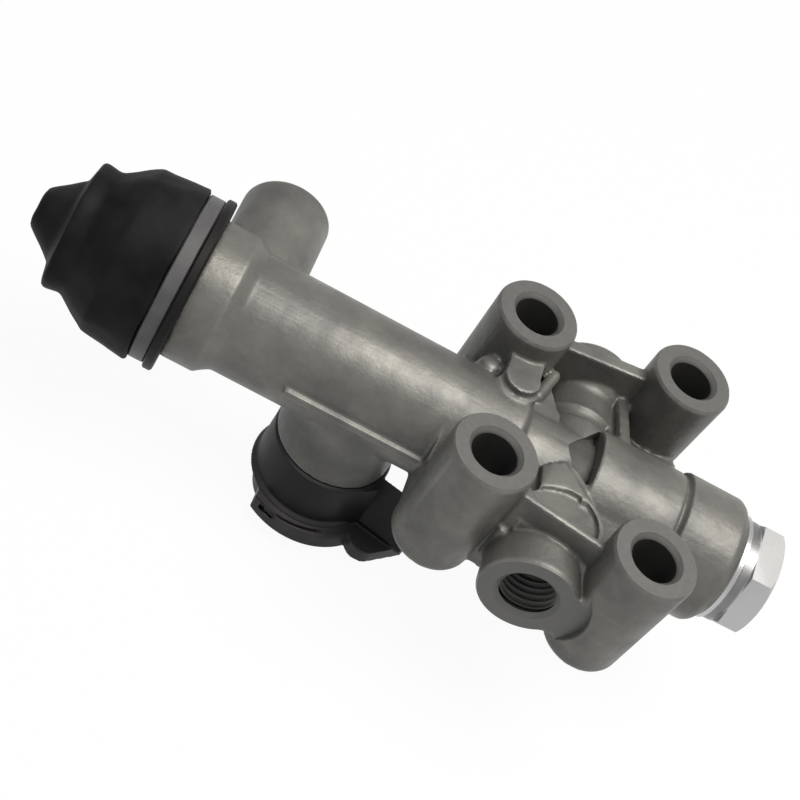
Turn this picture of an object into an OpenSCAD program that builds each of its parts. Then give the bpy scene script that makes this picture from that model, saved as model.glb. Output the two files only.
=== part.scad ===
// Plunger-operated leveling valve with a cast housing, cross ports and a vent cap.
// Frame: X along the plunger axis towards the hex plug, Z along the mounting bosses
// towards their machined faces, origin on the plunger axis between the left bosses.

/* [Housing] */
// Outside radius of the long tube
tube_r = 12; // [11.8:0.1:12.4]
// Radius of the main bore
bore_r = 8.5; // [8.3:0.1:8.7]
// Length from the origin to the collar end on the plug side
right_end = 53.5; // [53:0.25:55]
// Left face of the left collar
left_face = -59.2; // [-59.6:0.1:-59]

/* [Mounting bosses] */
// Height of the machined boss faces over the axis
boss_top = 18.3; // [17:0.1:20]
// Depth of the boss ends under the axis
boss_low = -10.2; // [-11:0.1:-9.8]
// Outside radius of a boss at its face
boss_r = 8.4; // [8.2:0.1:8.8]
// Radius of the bolt hole
boss_hole_r = 4.5; // [4:0.1:4.8]
// Distance between the left pair of holes
left_pair = 37; // [36.5:0.1:38]
// Distance between the right pair of holes
right_pair = 46.8; // [46:0.1:48]
// Distance between the pairs along the tube
pair_pitch = 33.2; // [32.8:0.1:34]

/* [Ports] */
// Position of the cross ports along the tube
cross_x = 18.1; // [18:0.1:18.6]
// Distance from the axis to a cross port face
port_face = 29.3; // [29:0.1:31]
// Outside radius of a port boss
port_r = 9.5; // [9:0.1:9.8]
// Radius of the tapped hole
tap_r = 5.25; // [5:0.05:5.4]
// Depth of the tapped hole
tap_depth = 12; // [11:0.5:13]
// Position of the supply port along the tube
supply_x = -50.1; // [-50.2:0.1:-49.8]
// Distance from the axis to the supply port face
supply_face = 29.3; // [29:0.1:30]

/* [Moving parts] */
// Radius of the plunger rod
rod_r = 5; // [4.8:0.1:5.2]
// Radius of the valve spool
spool_r = 5.95; // [5.9:0.01:5.97]
// Running clearance of the sliding fits
run = 0.05; // [0.02:0.01:0.09]

/* [Plug] */
// Hex size across flats
plug_af = 20.4; // [19.6:0.2:21]
// Radius of the closure's threaded seat
plug_bore = 9.2; // [9:0.05:9.3]

/* [Hidden] */

fn = 96;
e = 0.02;
stub_x = -22;
stub_end = -18.5;
spigot_r = 13.2;
spigot_end = -67;
guide_r = 10.5;
guide_in = -57;
guide_out = -65;
neck_x0 = 5.8;
neck_x1 = 21.2;
neck_r = 9.9;
head_r = 12.3;
collar_r = 13;
plug_in = 42;
pocket_r = 4.6;
pass_r = 3.6;
hex_x0 = 56.8;
hex_x1 = 62;
cap_x = -21.7;

// A solid of revolution about the tube axis; points are [x, r]
module turn_x(p, c = fn) {
  rotate([0, 90, 0]) rotate_extrude($fn = c) polygon([for (q = p) [q[1], q[0]]]);
}

// A cylinder along X from x0 to x1
module rod_x(x0, x1, r, r2 = -1) {
  translate([x0, 0, 0]) rotate([0, 90, 0]) cylinder(h = x1 - x0, r1 = r, r2 = r2 < 0 ? r : r2, $fn = fn);
}

// A cylinder along Y from y0 to y1 at x, z
module rod_y(x, z, y0, y1, r, r2 = -1) {
  translate([x, y0, z]) rotate([-90, 0, 0]) cylinder(h = y1 - y0, r1 = r, r2 = r2 < 0 ? r : r2, $fn = fn);
}

// A round ring about the tube axis with a round section
module oring_x(x, r, w) {
  translate([x, 0, 0]) rotate([0, 90, 0]) rotate_extrude($fn = fn) translate([r, 0]) circle(r = w, $fn = 32);
}

// A coil spring along Z from 0 to len with closed ends
module coil(r, w, len, turns, seg = 28, sides = 8) {
  n = seg * turns;
  dead = 1.2;
  lay = 2.25 * w;
  function lift(t) = t < dead ? w + t * lay :
    t > turns - dead ? len - w - (turns - t) * lay :
    w + dead * lay + (t - dead) / (turns - 2 * dead) * (len - 2 * w - 2 * dead * lay);
  pts = [for (i = [0:n]) for (j = [0:sides - 1])
    let(a = 360 * i / seg, b = 360 * j / sides, q = r + w * cos(b))
    [q * cos(a), q * sin(a), lift(i / seg) + w * sin(b)]];
  side = [for (i = [0:n - 1]) for (j = [0:sides - 1])
    let(k = (j + 1) % sides)
    [i * sides + j, i * sides + k, (i + 1) * sides + k, (i + 1) * sides + j]];
  tri = [for (f = side) each [[f[0], f[1], f[2]], [f[0], f[2], f[3]]]];
  cap0 = [for (j = [0:sides - 1]) sides - 1 - j];
  cap1 = [for (j = [0:sides - 1]) n * sides + j];
  polyhedron(points = pts, faces = concat(tri, [cap0], [cap1]), convexity = 20);
}

// One mounting boss at x, y
module boss(x, y) {
  translate([x, y, 0]) rotate_extrude($fn = fn) polygon([
    [0, boss_low], [boss_r - 1.6, boss_low], [boss_r - 0.7, boss_low + 0.35],
    [boss_r - 0.3, boss_low + 1.3], [boss_r, boss_top - 0.5], [boss_r - 0.5, boss_top], [0, boss_top]]);
}

// The web that ties one boss to the tube
module boss_web(y, x0, x1) {
  s = sign(y);
  translate([x0, 0, 0]) rotate([90, 0, 90]) linear_extrude(height = x1 - x0)
    polygon([[0, -8.2], [s * abs(y), -8.2], [s * abs(y), 2.2], [s * 14, 3.2], [s * 8.6, 8.4], [0, 8.4]]);
}

// The higher part of the right webs, which leans in towards the tube
module head_web(s) {
  intersection() {
    translate([24.9, 0, 0]) rotate([90, 0, 90]) linear_extrude(height = 16)
      polygon([[0, -4], [s * 16.5, -4], [s * 16.5, 2.2], [s * 15, 3], [s * 5.9, 10.7], [0, 11.5]]);
    linear_extrude(height = 40, center = true)
      polygon([[24.9, 0], [36.8, 0], [37.4, s * 4.9], [40.2, s * 16.5], [24.9, s * 16.5]]);
  }
}

// A straight wall from boss a to boss b
module wall(a, b, t, z0, z1) {
  d = [b[0] - a[0], b[1] - a[1]];
  translate([a[0], a[1], z0]) rotate([0, 0, atan2(d[1], d[0])])
    translate([0, -t / 2, 0]) cube([norm(d), t, z1 - z0]);
}

// A bolt hole with its chamfer
module boss_hole(x, y) {
  translate([x, y, boss_low - 1]) cylinder(h = boss_top - boss_low + 2, r = boss_hole_r, $fn = fn);
  translate([x, y, boss_top - 0.9]) cylinder(h = 1, r1 = boss_hole_r, r2 = boss_hole_r + 1, $fn = fn);
  translate([x, y, boss_low - 0.1]) cylinder(h = 0.9, r1 = boss_hole_r + 0.8, r2 = boss_hole_r, $fn = fn);
}

// A tapped port hole along Y with its stepped pocket; s is the side, face its distance
module port_hole(x, s, face) {
  m = s > 0 ? 0 : 1;
  mirror([0, m, 0]) {
    rod_y(x, 0, face - tap_depth, face + 1, tap_r);
    rod_y(x, 0, face - 1.1, face + e, tap_r, tap_r + 1.1);
    rod_y(x, 0, face - tap_depth - 3, face - tap_depth + e, pocket_r);
    rod_y(x, 0, 0, face - tap_depth, pass_r);
  }
}

module body_outside() {
  // left spigot, collar, tube, neck, head and collar in one turned profile
  turn_x([[spigot_end, 0], [spigot_end, spigot_r - 0.6], [spigot_end + 0.6, spigot_r],
    [-64.6, spigot_r], [-64.6, spigot_r - 0.8], [left_face, spigot_r - 0.8],
    [left_face, spigot_r + 0.7], [-52.6, spigot_r + 0.7], [-51.4, spigot_r - 0.2], [-49.8, tube_r], [neck_x0 - 0.6, tube_r], [neck_x0, tube_r - 0.5], [neck_x0 + 0.9, neck_r],
    [neck_x1 - 0.7, neck_r], [neck_x1, neck_r + 0.7], [neck_x1, head_r - 0.3], [neck_x1 + 0.3, head_r], [38.8, head_r],
    [39.2, head_r - 0.4], [39.8, head_r - 0.4], [40.4, collar_r], [51.3, collar_r], [52.3, collar_r - 0.5],
    [right_end - 0.3, 11.3], [right_end, 11], [right_end, 0]]);
  for (q = [[0, left_pair / 2], [0, -left_pair / 2], [pair_pitch, right_pair / 2], [pair_pitch, -right_pair / 2]])
    boss(q[0], q[1]);
  // webs from the tube to the bosses
  boss_web(left_pair / 2, -7.6, 7.8);
  boss_web(-left_pair / 2, -7.9, 7.8);
  boss_web(right_pair / 2, 25.2, 39.2);
  boss_web(-right_pair / 2, 26, 39.6);
  head_web(1);
  head_web(-1);
  // saddle between the left rear boss and the rear port
  translate([0, 0, -6]) linear_extrude(height = 14.9)
    polygon([[5, 0], [12.6, 0], [12.4, 6.6], [11.3, 7.7], [9.6, 11.2], [5, 12.2]]);
  // long walls between the bosses, the front one thinner above the pad
  wall([0, left_pair / 2], [pair_pitch, right_pair / 2], 2.9, -8.2, 14.2);
  wall([0, -left_pair / 2], [pair_pitch, -right_pair / 2], 2.9, -8.2, 8);
  wall([-0.11, -left_pair / 2 - 0.77], [pair_pitch - 0.11, -right_pair / 2 - 0.77], 1.35, 7, 14.2);
  linear_extrude(height = 14.2) polygon([[6.5, -20.8], [7.6, -18], [9.2, -18.6], [12.2, -21.3], [12, -21.5]]);
}

module cross_ports() {
  pad = [17.5, -18.6, 8.6];
  // front delivery boss, with the round flat pad let into its inner half
  rod_y(cross_x, 0, 0.5 - port_face, -22, port_r);
  rod_y(cross_x, 0, -port_face, 0.5 - port_face, port_r - 0.5, port_r);
  difference() {
    union() {
      rod_y(cross_x, 0, -22.5, 0, port_r);
      translate([pad[0], pad[1], 0]) cylinder(h = pad[2], r = 7.95, $fn = fn);
    }
    translate(pad) cylinder(h = 6, r = 7.95, $fn = fn);
    translate([0, -32, -1]) cube([40, 10, 12]);
  }
  // raised lip on the right side of the pad
  intersection() {
    translate([18.3, -16.9, 0]) cylinder(h = 9.7, r = 7.7, $fn = fn);
    difference() {
      translate([20.2, -21.5, 0]) cube([8, 12.6, 13]);
      translate([18.3, -16.9, pad[2]]) cylinder(h = 4, r = 6.7, $fn = fn);
    }
  }
  // rear delivery boss, stepped inside the wall
  translate([cross_x, 0, 0]) rotate([-90, 0, 0]) rotate_extrude($fn = fn)
    polygon([[0, 0], [9.3, 0], [8.9, 8.8], [8.5, 9.4], [7.7, 9.8], [7.5, 10.6], [7.6, 11.9], [8.1, 12.4],
      [8.15, 13], [7.8, 13.5], [7.6, 17.8], [7.9, 18.8], [8.9, 19.8], [8.9, 21], [port_r, 21],
      [port_r, port_face - 0.5], [port_r - 0.5, port_face], [0, port_face]]);
  // gusset from the front port boss to the right boss, with a sloping fillet in its notch
  translate([cross_x, -port_face, -6.7]) cube([9.6, 10, 7.5]);
  translate([cross_x, -port_face, -6.7]) cube([9.6, 1.5, 12.3]);
  translate([26.2, -port_face, -6.7]) cube([4.4, 8, 11.7]);
  translate([22.5, 0, 0]) rotate([90, 0, 90]) linear_extrude(height = 3.3)
    polygon([[-22, 9.3], [-22, 0], [-28.2, 0], [-28.2, 5.1]]);
}

module supply_boss() {
  rod_y(supply_x, 0, 0, supply_face - 1.1, 9);
  translate([supply_x, supply_face - 1.1, 0]) rotate([-90, 0, 0]) rotate_extrude($fn = fn)
    polygon([[0, -0.1], [9, 0], [8.85, 0.45], [8.4, 0.85], [7.8, 1.05], [7.2, 1.1], [0, 1.1]]);
}

module vent_stub() {
  translate([stub_x, 0, stub_end]) cylinder(h = -stub_end, r = 12, $fn = fn);
  difference() {
    translate([stub_x, 0, -29.5]) cylinder(h = 12, r = 8.8, $fn = fn);
    translate([stub_x, 0, -26]) rotate_extrude($fn = fn) translate([8.9, 0]) circle(r = 0.62, $fn = 32);
  }
}

module surface_ribs() {
  // parting ribs along both sides of the tube
  for (s = [-1, 1]) translate([-36.4, s > 0 ? 11.4 : -13.1, -0.85]) cube([28.6, 1.7, 1.7]);
  // round pad beside the left rear boss, in a shallow groove with a lip
  translate([2.05, 5.95, 6]) cylinder(h = 7.8, r = 3.6, $fn = 64);
  translate([-1.45, 5.95, 6]) cube([6.8, 6.5, 7.8]);
  intersection() {
    difference() {
      translate([2.05, 5.95, 6]) cylinder(h = 6.2, r = 4.6, $fn = 64);
      translate([2.05, 5.95, 5]) cylinder(h = 8, r = 4.05, $fn = 64);
    }
    translate([-2.2, 0, 0]) cube([8.6, 5.2, 20]);
  }
  // short rib over the saddle
  translate([7.5, 6.9, 4]) rotate([0, 0, 73.5]) cube([8.6, 1.8, 5.9]);
  // ejector bumps
  translate([-3.6, 9.2, 6]) cylinder(h = 4.4, r = 1.6, $fn = 48);
  translate([9.3, -21.3, -4]) cylinder(h = 9, r = 1.3, $fn = 48);
  // rib from the rear wall to the head
  translate([25.9, 7.4, 3]) rotate([0, 0, 96.5]) rotate([90, 0, 0])
    linear_extrude(height = 2.3, center = true) polygon([[0, 0], [13.5, 0], [13.5, 4.4], [0, 6.9]]);
}

module body_inside() {
  rod_x(spigot_end - 1, guide_in, guide_r);
  rod_x(spigot_end - e, spigot_end + 0.8, guide_r + 0.8, guide_r);
  rod_x(guide_out - 1.3, guide_out, guide_r + 0.9);
  rod_x(guide_in - e, plug_in + e, bore_r);
  rod_x(plug_in, right_end + 1, plug_bore);
  rod_x(right_end - 1.9, right_end + e, plug_bore, plug_bore + 1.4);
  for (q = [[0, left_pair / 2], [0, -left_pair / 2], [pair_pitch, right_pair / 2], [pair_pitch, -right_pair / 2]])
    boss_hole(q[0], q[1]);
  port_hole(cross_x, -1, port_face);
  port_hole(cross_x, 1, port_face);
  // spot faces of the cross ports, which run into the right bosses
  rod_y(cross_x, 0, port_face, port_face + 4, 11.9);
  rod_y(cross_x, 0, -port_face - 4, -port_face, 11.9);
  port_hole(supply_x, 1, supply_face);
  translate([stub_x, 0, -30]) cylinder(h = 30, r = 5, $fn = fn);
  // groove round the small pad
  intersection() {
    difference() {
      translate([2.05, 5.95, 10.6]) cylinder(h = 4, r = 4.05, $fn = 64);
      translate([2.05, 5.95, 10]) cylinder(h = 6, r = 3.6, $fn = 64);
    }
    translate([-3, 0, 0]) cube([9, 5.6, 20]);
  }
}

module valve_body() {
  color("silver") difference() {
    union() {
      body_outside();
      cross_ports();
      supply_boss();
      vent_stub();
      surface_ribs();
    }
    body_inside();
  }
}

module rubber_boot() {
  color("dimgray") turn_x([[-91, 0], [-90.9, 2.2], [-90.2, 4], [-88.9, 5.4], [-87, 7],
    [-84.9, 8.5], [-84.5, 9.2], [-84.3, 11.2], [-83.9, 12.1], [-83.3, 12.6], [-80.1, 12.7],
    [-79.3, 13.1], [-77, 14.9], [-74.3, 16.5], [-73.2, spigot_r + 3.7],
    [-71, spigot_r + 3.8], [-67, spigot_r + 4.1], [-64.7, spigot_r + 4.35],
    [-64.4, spigot_r + 4.1], [-64.4, spigot_r + 0.05], [-66.2, spigot_r + 0.05],
    [-66.4, spigot_r + 2.2], [-71, spigot_r + 2.1], [-72.9, spigot_r + 1.9], [-76, 13.2], [-78.6, 11.4],
    [-79.6, 11], [-82.2, 10.9], [-82.7, 10.4], [-82.9, 7.6], [-85.2, 6.2], [-85.2, 0]]);
}

module boot_clamp_ring() {
  color("gray") turn_x([[-64.35, spigot_r + 1.8], [-64.35, spigot_r + 3.2], [-64.1, spigot_r + 3.45],
    [-61.5, spigot_r + 3.45], [-61.25, spigot_r + 3.2], [-61.25, spigot_r + 1.8]]);
}

module boot_seat_ring() {
  color("dimgray") turn_x([[-64.35, spigot_r - 0.75], [-64.35, spigot_r + 1.75],
    [-61.2, spigot_r + 1.75], [-61.2, spigot_r + 3.8], [-60.9, spigot_r + 4.2], [left_face - 0.4, spigot_r + 4.2],
    [left_face - 0.05, spigot_r + 3.8], [left_face - 0.05, spigot_r - 0.75]]);
}

module plunger() {
  color("lightsteelblue") difference() {
    turn_x([[-83.2, 0], [-83.2, 3.4], [-76, 3.4], [-75.6, rod_r - 0.4], [-75.2, rod_r],
      [guide_in, rod_r], [guide_in, 7.4], [-56.6, 7.8], [-53.4, 7.8], [-53, 7.4], [-53, 4],
      [-48.6, 4], [-48.2, 3.6], [-48.2, 0]]);
    rod_x(-84, -80, 1.4);
  }
}

module plunger_tip() {
  color("gainsboro") turn_x([[-85.15, 0], [-85.15, 5.6], [-84.6, 6.2], [-82.95, 7.2], [-82.6, 7.4],
    [-78, 7.4], [-77.2, 6.6], [-76.1, 6.6], [-76.1, 3.42], [-83.25, 3.42], [-83.25, 0]]);
}

module guide_bush() {
  color("goldenrod") difference() {
    rod_x(guide_out, guide_in - e, guide_r - 0.02);
    rod_x(guide_out - 1, guide_in + 1, rod_r + run);
    rod_x(guide_out - e, guide_out + 2.2, 7.4);
    rod_x(-60.6, -58.4, rod_r + 1.6);
    translate([-61.6, 0, 0]) rotate([0, 90, 0]) rotate_extrude($fn = fn)
      translate([guide_r, 0]) circle(r = 0.6, $fn = 32);
  }
}

module guide_circlip() {
  color("slategray") difference() {
    rod_x(guide_out - 1.25, guide_out - 0.05, guide_r + 0.8);
    rod_x(guide_out - 2, guide_out + 1, guide_r - 1.5);
    translate([guide_out - 2, -2.2, 0]) cube([3, 4.4, 20]);
  }
}

module rod_wiper() {
  color("black") turn_x([[guide_out - 0.4, rod_r + run], [guide_out - 0.4, rod_r + 0.7],
    [guide_out + 0.4, 6.6], [guide_out + 0.4, 7.35], [guide_out + 2.15, 7.35], [guide_out + 2.15, rod_r + 0.5],
    [guide_out + 0.9, rod_r + 0.4], [guide_out + 0.3, rod_r + run]]);
}

module rod_seal() {
  color("black") oring_x(-59.5, rod_r + run + 0.78, 0.76);
}

module valve_sleeve() {
  color("goldenrod") difference() {
    rod_x(-44, -2, bore_r - 0.02);
    rod_x(-45, -1, spool_r + run);
    rod_x(-39.5, -14, 7);
    for (a = [0:60:300]) rotate([a, 0, 0]) translate([stub_x, 0, 0]) cylinder(h = 10, r = 2.2, $fn = 48);
    difference() {
      rod_x(-27, -17, 10);
      rod_x(-28, -16, 7.7);
    }
    for (x = [-41.8, -6]) translate([x, 0, 0]) rotate([0, 90, 0]) rotate_extrude($fn = fn)
      translate([bore_r - 1, -1.1]) square([2, 2.2]);
  }
}

module sleeve_seals() {
  color("black") for (x = [-41.8, -6]) oring_x(x, bore_r - 0.51, 0.48);
}

module spool() {
  color("silver") difference() {
    turn_x([[-48.15, 0], [-48.15, 3.6], [-47.8, spool_r], [-46.2, spool_r], [-46.1, 5.2], [-44.8, 5.2],
      [-44.7, spool_r], [-40.6, spool_r], [-40, 5.2], [-13.9, 5.2], [-13.4, spool_r],
      [6, spool_r], [6.4, 5], [12, 5], [12, 0]]);
    rod_x(-46.4, 13, 2.9);
    for (a = [0:90:270]) rotate([a, 0, 0]) translate([-45.45, 0, 0]) cylinder(h = 8, r = 0.6, $fn = 32);
    translate([-12.2, 0, 0]) rotate([0, 90, 0]) rotate_extrude($fn = fn) translate([5.05, -0.6]) square([2, 1.2]);
  }
}

module spool_seal() {
  color("black") oring_x(-12.2, 5.5, 0.42);
}

module spring_cup() {
  color("lightsteelblue") difference() {
    turn_x([[6.45, 0], [6.45, 7.2], [6.9, bore_r - 0.4], [8.4, bore_r - 0.4], [8.8, 7.9], [8.8, 5.2],
      [11.4, 5.2 + 0.6], [11.4, 0]]);
    rod_x(5, 13, 5.02);
  }
}

module return_spring() {
  color("darkgray") translate([8.82, 0, 0]) rotate([0, 90, 0]) coil(6.6, 0.62, 38.6, 10);
}

module hex_plug() {
  color("gainsboro") difference() {
    union() {
      intersection() {
        translate([hex_x0, 0, 0]) rotate([0, 90, 0]) rotate([0, 0, 41.7])
          cylinder(h = hex_x1 - hex_x0, r = plug_af / sqrt(3), $fn = 6);
        turn_x([[hex_x0, 0], [hex_x0, 10.6], [hex_x0 + 0.7, 12], [hex_x1 - 0.9, 12],
          [hex_x1, 10.5], [hex_x1, 0]]);
      }
      turn_x([[plug_in + 0.6, 0], [plug_in + 0.6, plug_bore - 0.8], [plug_in + 1.4, plug_bore - run],
        [right_end - 1.9, plug_bore - run], [right_end - 1.9, plug_bore - 0.7],
        [right_end + 1.2, plug_bore - 0.7], [right_end + 1.2, 10.4], [hex_x0 + e, 10.4], [hex_x0 + e, 0]]);
    }
    rod_x(plug_in, 47.45, 7.5);
    rod_x(47.4, 50, 7.5, 4);
    rod_x(hex_x1 - 0.6, hex_x1 + 1, 7.2, 7.6);
  }
}

module plug_washer() {
  color("gainsboro") difference() {
    turn_x([[right_end + e, 0], [right_end + e, 10.8], [right_end + 0.15, 10.95], [right_end + 1.03, 10.95],
      [right_end + 1.18, 10.8], [right_end + 1.18, 0]]);
    rod_x(right_end - 1, right_end + 3, plug_bore - 0.65);
  }
}

module plug_seal() {
  color("black") oring_x(right_end - 0.75, plug_bore - 0.08, 0.6);
}

module check_seat() {
  color("goldenrod") difference() {
    rod_y(supply_x, 0, supply_face - 14, supply_face - 12.1, pocket_r - 0.05);
    rod_y(supply_x, 0, supply_face - 16, supply_face - 10, 2.6);
    rod_y(supply_x, 0, supply_face - 14 - e, supply_face - 13.3, 3.3, 2.6);
  }
}

module check_poppet() {
  y = supply_face - 14.05;
  color("firebrick") union() {
    rod_y(supply_x, 0, y - 1.1, y, 3.2);
    rod_y(supply_x, 0, y - 5.95, y - 1, 1.4);
    rod_y(supply_x, 0, y - e, y + 0.68, 3.2, 2.52);
  }
}

module check_spring() {
  color("darkgray") translate([supply_x, supply_face - 15.2, 0]) rotate([90, 0, 0]) coil(2.4, 0.25, 4.35, 6, 24, 6);
}

module check_retainer() {
  y = supply_face - 19.65;
  color("goldenrod") difference() {
    rod_y(supply_x, 0, y - 1, y, pass_r - 0.05);
    rod_y(supply_x, 0, y - 2, y + 1, 1.4 + run);
    for (a = [0:120:240]) translate([supply_x, 0, 0]) rotate([0, a, 0])
      translate([2.55, y - 2, 0]) rotate([-90, 0, 0]) cylinder(h = 4, r = 0.7, $fn = 32);
  }
}

module port_screens() {
  y = port_face - 13.2;
  color("silver") for (s = [0, 1]) mirror([0, s, 0]) difference() {
    rod_y(cross_x, 0, y, y + 0.8, pocket_r - 0.05);
    for (i = [-2:2]) for (j = [-2:2]) if (i * i + j * j < 7)
      rod_y(cross_x + 1.5 * i, 1.5 * j, y - 1, y + 2, 0.5);
  }
}

// A gabled duct along its own direction from the wall corner of the vent cap
module vent_arm(d) {
  translate([-9.8, -6.65, 0]) rotate([0, 0, -12]) rotate([90, 0, 90])
    translate([0, 0, -8]) linear_extrude(height = 18.4 - d)
      polygon([[d, -31.2 + (d > 0 ? -2 : 0)], [d, -30], [3.5, -19.8 - 2.5 * d], [3.95, -19.8 - 2.5 * d],
        [8 - d, -30], [8 - d, -31.2 + (d > 0 ? -2 : 0)]]);
}

module vent_cap() {
  color("dimgray") difference() {
    union() {
      // round wall with its bevel
      translate([cap_x, 0, 0]) rotate_extrude($fn = fn) polygon([[0, -31.2], [13.1, -31.2], [13.1, -30.6],
        [12.35, -29.8], [12.35, -19.4], [11.9, -18.9], [0, -18.9]]);
      // flat side wall from the round part to the duct
      translate([0, 0, -31.2]) linear_extrude(height = 12)
        polygon([[-21.7, 0], [-14.27, -9.87], [-9.8, -6.55], [-9.8, 2]]);
      vent_arm(0);
      // foot flange with its cut left side
      intersection() {
        translate([cap_x + 0.5, 0, 0]) rotate_extrude($fn = fn) polygon([[0, -34.4], [15.1, -34.4], [15.4, -34.1],
          [15.3, -33.5], [14.9, -31.3], [14.6, -31], [0, -31]]);
        translate([-30.2, -20, -35]) cube([40, 40, 6]);
      }
      // rounded ear of the flange
      translate([-6.9, -8.9, -34.4]) cylinder(h = 3.4, r = 3.5, $fn = 64);
      translate([0, 0, -34.4]) linear_extrude(height = 3.4)
        polygon([[-12, -8], [-6.5, -12.3], [-4.55, -11.5], [1.4, -6.2], [1.4, 1], [-10, 8]]);
      translate([stub_x, 0, -37.6]) cylinder(h = 4, r1 = 10.2, r2 = 10.8, $fn = fn);
    }
    translate([stub_x, 0, -29.95]) cylinder(h = 12, r = 8.85, $fn = fn);
    translate([stub_x, 0, -26]) rotate_extrude($fn = fn) translate([8.9, 0]) circle(r = 0.62, $fn = 32);
    translate([stub_x, 0, -31.42]) cylinder(h = 1.5, r = 9.4, $fn = fn);
    translate([stub_x, 0, -36.2]) cylinder(h = 5, r = 8.4, $fn = fn);
    for (a = [0:60:300]) translate([stub_x, 0, 0]) rotate([0, 0, a]) translate([5.4, 0, -38])
      cylinder(h = 4, r = 1.6, $fn = 48);
    translate([stub_x, 0, -38]) cylinder(h = 4, r = 1.6, $fn = 48);
    // seam groove on the flange and its latch window
    intersection() {
      translate([-22.4, 0, -31.6]) difference() {
        cylinder(h = 2, r = 14.45, $fn = fn);
        translate([0, 0, -1]) cylinder(h = 4, r = 14.05, $fn = fn);
      }
      translate([-36, -18, -32]) cube([20.5, 15, 3]);
    }
    translate([-22.4, 0, 0]) rotate([0, 0, 253]) translate([13.9, -1.4, -32.6]) cube([3, 2.8, 1.8]);
    // inside of the duct, open downwards
    intersection() {
      vent_arm(1.2);
      translate([-13.5, -12, -40]) cube([12.5, 20, 30]);
    }
  }
}

module vent_clip() {
  color("slategray") translate([stub_x, 0, -26]) difference() {
    rotate_extrude($fn = fn) translate([8.9, 0]) circle(r = 0.58, $fn = 32);
    translate([0, -2.5, -2]) cube([12, 5, 4]);
  }
}

module vent_seat() {
  color("gray") translate([stub_x, 0, -31.4]) difference() {
    cylinder(h = 1.4, r = 9.3, $fn = fn);
    translate([0, 0, -1]) cylinder(h = 4, r = 1.02, $fn = 48);
    for (a = [0:45:315]) rotate([0, 0, a]) translate([4.4, 0, -1]) cylinder(h = 4, r = 1.3, $fn = 48);
  }
}

module vent_flap() {
  color("black") translate([stub_x, 0, 0]) union() {
    translate([0, 0, -32.25]) cylinder(h = 0.8, r = 7.4, $fn = fn);
    translate([0, 0, -31.5]) cylinder(h = 2.7, r = 0.97, $fn = 48);
    translate([0, 0, -28.85]) cylinder(h = 0.8, r = 1.7, $fn = 48);
  }
}

module vent_foam() {
  color("darkslategray") translate([stub_x, 0, -36.15]) cylinder(h = 2.5, r = 8.35, $fn = fn);
}

valve_body();
rubber_boot();
boot_clamp_ring();
boot_seat_ring();
plunger();
plunger_tip();
guide_bush();
guide_circlip();
rod_wiper();
rod_seal();
valve_sleeve();
sleeve_seals();
spool();
spool_seal();
spring_cup();
return_spring();
hex_plug();
plug_washer();
plug_seal();
check_seat();
check_poppet();
check_spring();
check_retainer();
port_screens();
vent_cap();
vent_clip();
vent_flap();
vent_seat();
vent_foam();
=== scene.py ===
import math

import bpy
from mathutils import Matrix, Vector


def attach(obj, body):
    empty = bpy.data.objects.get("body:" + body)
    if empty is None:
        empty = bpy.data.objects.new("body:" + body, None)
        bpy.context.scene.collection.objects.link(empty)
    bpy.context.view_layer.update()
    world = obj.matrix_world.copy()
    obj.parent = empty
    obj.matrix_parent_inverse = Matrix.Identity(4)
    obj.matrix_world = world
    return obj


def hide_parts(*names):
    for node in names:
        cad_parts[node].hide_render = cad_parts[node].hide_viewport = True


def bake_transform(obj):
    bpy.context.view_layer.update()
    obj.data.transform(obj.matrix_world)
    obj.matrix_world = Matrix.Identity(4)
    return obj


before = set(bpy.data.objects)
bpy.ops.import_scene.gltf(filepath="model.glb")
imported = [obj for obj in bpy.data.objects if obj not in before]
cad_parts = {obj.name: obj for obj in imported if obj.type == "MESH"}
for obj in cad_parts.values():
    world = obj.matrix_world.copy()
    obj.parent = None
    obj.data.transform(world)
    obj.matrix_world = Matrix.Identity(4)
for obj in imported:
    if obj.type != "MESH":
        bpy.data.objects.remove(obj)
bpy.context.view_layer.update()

# Camera
# A long lens looks down on the valve from the left front, with the tube running to the
# lower right, as the valve is seen lying on its vent cap.
camera_data = bpy.data.cameras.new("camera")
camera_data.lens = 74.97
camera_data.sensor_width = 36
camera_data.clip_start = 0.01
camera = bpy.data.objects.new("camera", camera_data)
bpy.context.scene.collection.objects.link(camera)
to_right = Vector((0.8773, 0.2565, 0.4057)).normalized()
to_back = Vector((-0.1282, -0.6893, 0.7131)).normalized()
to_top = to_back.cross(to_right).normalized()
camera.matrix_world = Matrix.Translation((-0.0558, -0.2157, 0.2222)) @ Matrix(
    (to_right, to_top, to_back)).transposed().to_4x4()
bpy.context.scene.camera = camera
bpy.context.scene.view_settings.view_transform = "Standard"

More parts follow.
